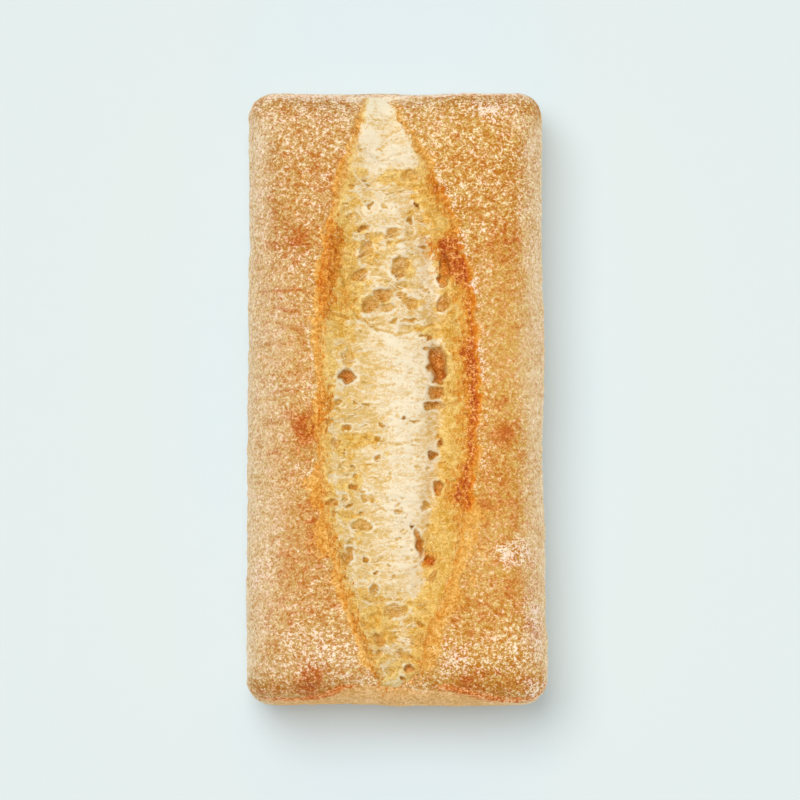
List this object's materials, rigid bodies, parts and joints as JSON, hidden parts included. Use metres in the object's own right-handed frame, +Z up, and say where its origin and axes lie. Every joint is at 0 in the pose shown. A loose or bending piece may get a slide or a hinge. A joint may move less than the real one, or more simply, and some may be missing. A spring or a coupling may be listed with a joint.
{
  "type": "ciabatta bun",
  "caption": "Oblong bread roll with a flat base, cut side walls and a crust that has split open along its length over a torn, open crumb.",
  "frame": {"origin": "middle of the flat base", "axes": "+Z up out of the base, +Y along the loaf towards the back end, where the split runs out over the edge"},
  "size_m": [0.0736, 0.15, 0.04],
  "materials": {
    "baked_crust": null
  },
  "bodies": {
    "root": {"ciabatta_bun": "baked_crust"}
  },
  "joints": []
}
